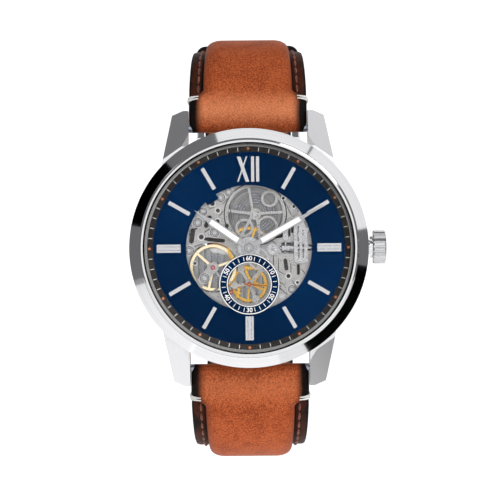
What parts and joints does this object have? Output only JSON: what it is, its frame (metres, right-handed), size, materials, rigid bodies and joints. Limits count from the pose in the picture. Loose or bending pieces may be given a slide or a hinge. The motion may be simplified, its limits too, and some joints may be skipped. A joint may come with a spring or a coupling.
{
  "type": "wristwatch",
  "caption": "Self-winding skeleton wristwatch with a round steel case, open blue dial, small seconds ring and tan leather strap.",
  "frame": {"origin": "centre of the case back's outer face", "axes": "+Z to 12 o'clock, +X to 3 o'clock and the crown, +Y out of the case back towards the wrist; the dial faces -Y"},
  "size_m": [0.0516, 0.0838, 0.0899],
  "materials": {
    "case_steel": "stainless steel, brushed with polished edges",
    "crystal_glass": "clear mineral glass, polished",
    "seal_rubber": "moulded black rubber",
    "dial_blue": "deep blue sunray lacquer on brass",
    "track_black": "satin black with printed marks",
    "applied_steel": "polished, rhodium plated",
    "copper_hand": "copper coloured plating",
    "plate_rhodium": "rhodium plated brass, fine brushed",
    "movement_steel": "hardened steel, satin",
    "gilt_brass": "gilt brass, circular grained",
    "ruby": "polished synthetic ruby",
    "rotor_steel": "brushed with radial stripes",
    "strap_leather": "smooth tan calf leather, burnished dark edges, stitched"
  },
  "bodies": {
    "case": {"mid_case": "case_steel", "bezel": "case_steel", "case_back": "case_steel", "crown_tube": "case_steel", "spring_bars": "case_steel", "crystal": "crystal_glass", "case_back_crystal": "crystal_glass", "case_gaskets": "seal_rubber", "dial": "dial_blue", "small_seconds_ring": "dial_blue", "minute_track_ring": "track_black", "hour_indices": "applied_steel", "numeral_twelve": "applied_steel", "main_plate": "plate_rhodium", "barrel_bridge": "plate_rhodium", "train_bridge": "plate_rhodium", "balance_cock": "plate_rhodium", "pallet_bridge": "plate_rhodium", "movement_ring": "plate_rhodium", "keyless_cover": "movement_steel", "movement_screws": "movement_steel", "click_spring": "movement_steel", "hairspring": "movement_steel", "jewels": "ruby"},
    "seconds": {"fourth_wheel": "gilt_brass", "seconds_hand": "copper_hand"},
    "third": {"third_wheel": "gilt_brass"},
    "center": {"center_wheel": "gilt_brass"},
    "barrel": {"barrel_drum": "plate_rhodium", "barrel_cover": "plate_rhodium", "mainspring": "movement_steel"},
    "escape": {"escape_wheel": "movement_steel"},
    "pallet": {"pallet_fork": "movement_steel"},
    "balance": {"balance_wheel": "gilt_brass", "balance_staff": "movement_steel"},
    "minute": {"cannon_pinion": "movement_steel", "minute_hand": "applied_steel"},
    "minute_reduction": {"minute_wheel": "movement_steel"},
    "hour": {"hour_wheel": "movement_steel", "hour_hand": "applied_steel"},
    "setting_gear": {"setting_wheel": "movement_steel"},
    "crown_sleeve": {"crown_gasket": "seal_rubber"},
    "crown": {"crown": "case_steel", "winding_stem": "movement_steel"},
    "pinion": {"winding_pinion": "movement_steel"},
    "yoke": {"yoke": "movement_steel"},
    "clutch": {"sliding_clutch": "movement_steel"},
    "lever": {"setting_lever": "movement_steel"},
    "crown_gear": {"crown_wheel": "movement_steel"},
    "ratchet": {"ratchet_wheel": "movement_steel", "barrel_arbor": "movement_steel"},
    "click": {"click": "movement_steel"},
    "rotor": {"oscillating_weight": "rotor_steel"},
    "reverser": {"reverser_wheel": "gilt_brass"},
    "strap_upper": {"upper_strap": "strap_leather", "fixed_keeper": "strap_leather"},
    "strap_lower": {"lower_strap": "strap_leather"},
    "keeper": {"sliding_keeper": "strap_leather"},
    "buckle": {"buckle_frame": "case_steel"},
    "prong": {"buckle_prong": "case_steel"}
  },
  "joints": [
    {"name": "seconds_turn", "type": "hinge", "parent": "case", "child": "seconds", "pos_m": [0, -0.006, -0.0073], "axis": [0, 1, 0], "continuous": true},
    {"name": "third_turn", "type": "hinge", "parent": "case", "child": "third", "pos_m": [0.00296, -0.006, -0.00391], "axis": [0, 1, 0], "continuous": true},
    {"name": "center_turn", "type": "hinge", "parent": "case", "child": "center", "pos_m": [0, -0.006, 0], "axis": [0, 1, 0], "continuous": true},
    {"name": "barrel_turn", "type": "hinge", "parent": "case", "child": "barrel", "pos_m": [0.00133, -0.006, 0.00683], "axis": [0, 1, 0], "continuous": true},
    {"name": "escape_turn", "type": "hinge", "parent": "case", "child": "escape", "pos_m": [-0.00375, -0.006, -0.00885], "axis": [0, 1, 0], "continuous": true},
    {"name": "pallet_rock", "type": "hinge", "parent": "case", "child": "pallet", "pos_m": [-0.00524, -0.0053, -0.00678], "axis": [0, 1, 0], "range_deg": [-5, 5]},
    {"name": "balance_swing", "type": "hinge", "parent": "case", "child": "balance", "pos_m": [-0.0073, -0.0046, -0.0039], "axis": [0, 1, 0], "range_deg": [-270, 270], "stiffness_Nm_per_rad": 0.0000006},
    {"name": "minute_turn", "type": "hinge", "parent": "case", "child": "minute", "pos_m": [0, -0.006, 0], "axis": [0, 1, 0], "continuous": true},
    {"name": "minute_wheel_turn", "type": "hinge", "parent": "case", "child": "minute_reduction", "pos_m": [0.0019, -0.006, -0.00219], "axis": [0, 1, 0], "continuous": true},
    {"name": "hour_turn", "type": "hinge", "parent": "case", "child": "hour", "pos_m": [0, -0.006, 0], "axis": [0, 1, 0], "continuous": true},
    {"name": "setting_wheel_turn", "type": "hinge", "parent": "case", "child": "setting_gear", "pos_m": [0.0047, -0.006, -0.0003], "axis": [0, 1, 0], "continuous": true},
    {"name": "crown_pull", "type": "slide", "parent": "case", "child": "crown_sleeve", "axis": [1, 0, 0], "range_m": [0, 0.0011]},
    {"name": "crown_turn", "type": "hinge", "parent": "crown_sleeve", "child": "crown", "pos_m": [0.026, -0.0061, 0], "axis": [1, 0, 0], "continuous": true},
    {"name": "winding_pinion_turn", "type": "hinge", "parent": "case", "child": "pinion", "pos_m": [0.0086, -0.0061, 0], "axis": [1, 0, 0], "continuous": true},
    {"name": "yoke_shift", "type": "slide", "parent": "case", "child": "yoke", "axis": [1, 0, 0], "range_m": [-0.000501, 0]},
    {"name": "clutch_turn", "type": "hinge", "parent": "yoke", "child": "clutch", "pos_m": [0.0074, -0.0061, 0], "axis": [1, 0, 0], "continuous": true},
    {"name": "setting_lever_swing", "type": "hinge", "parent": "case", "child": "lever", "pos_m": [0.0106, -0.0069, 0.0026], "axis": [0, 1, 0], "range_deg": [-26.01, 0]},
    {"name": "crown_wheel_turn", "type": "hinge", "parent": "case", "child": "crown_gear", "pos_m": [0.00665, -0.006, 0], "axis": [0, 1, 0], "continuous": true},
    {"name": "ratchet_turn", "type": "hinge", "parent": "case", "child": "ratchet", "pos_m": [0.00133, -0.006, 0.00683], "axis": [0, 1, 0], "continuous": true},
    {"name": "click_lift", "type": "hinge", "parent": "case", "child": "click", "pos_m": [-0.0056, -0.0025, 0.0082], "axis": [0, 1, 0], "range_deg": [-12, 0], "stiffness_Nm_per_rad": 0.00002},
    {"name": "rotor_turn", "type": "hinge", "parent": "case", "child": "rotor", "pos_m": [0, -0.0022, 0], "axis": [0, 1, 0], "continuous": true},
    {"name": "reverser_turn", "type": "hinge", "parent": "case", "child": "reverser", "pos_m": [-0.0025, -0.0025, -0.00245], "axis": [0, 1, 0], "continuous": true},
    {"name": "upper_strap_swing", "type": "hinge", "parent": "case", "child": "strap_upper", "pos_m": [0, -0.003, 0.0244], "axis": [1, 0, 0], "range_deg": [0, 40]},
    {"name": "lower_strap_swing", "type": "hinge", "parent": "case", "child": "strap_lower", "pos_m": [0, -0.003, -0.0244], "axis": [-1, 0, 0], "range_deg": [0, 40]},
    {"name": "keeper_slide", "type": "slide", "parent": "strap_upper", "child": "keeper", "axis": [0, 0.9212, -0.389], "range_m": [-0.002, 0.002]},
    {"name": "buckle_swing", "type": "hinge", "parent": "strap_upper", "child": "buckle", "pos_m": [0, 0.06114, 0.02564], "axis": [1, 0, 0], "range_deg": [-20, 30]},
    {"name": "prong_lift", "type": "hinge", "parent": "buckle", "child": "prong", "pos_m": [0, 0.06114, 0.02564], "axis": [1, 0, 0], "range_deg": [0, 100]}
  ],
  "couplings": [
    {"joint": "third_turn", "follows": "seconds_turn", "ratio": -0.13333},
    {"joint": "center_turn", "follows": "seconds_turn", "ratio": 0.016667},
    {"joint": "barrel_turn", "follows": "seconds_turn", "ratio": -0.0027778},
    {"joint": "escape_turn", "follows": "seconds_turn", "ratio": -9},
    {"joint": "minute_wheel_turn", "follows": "minute_turn", "ratio": -0.33333},
    {"joint": "hour_turn", "follows": "minute_turn", "ratio": 0.083333},
    {"joint": "setting_wheel_turn", "follows": "minute_turn", "ratio": 0.6},
    {"joint": "winding_pinion_turn", "follows": "crown_turn", "ratio": 1},
    {"joint": "clutch_turn", "follows": "crown_turn", "ratio": 1},
    {"joint": "crown_wheel_turn", "follows": "crown_turn", "ratio": -0.58333},
    {"joint": "ratchet_turn", "follows": "crown_turn", "ratio": 0.42778},
    {"joint": "yoke_shift", "follows": "crown_pull", "ratio": -0.45455},
    {"joint": "setting_lever_swing", "follows": "crown_pull", "rad_per_m": -412.53},
    {"joint": "reverser_turn", "follows": "rotor_turn", "ratio": -0.25}
  ]
}
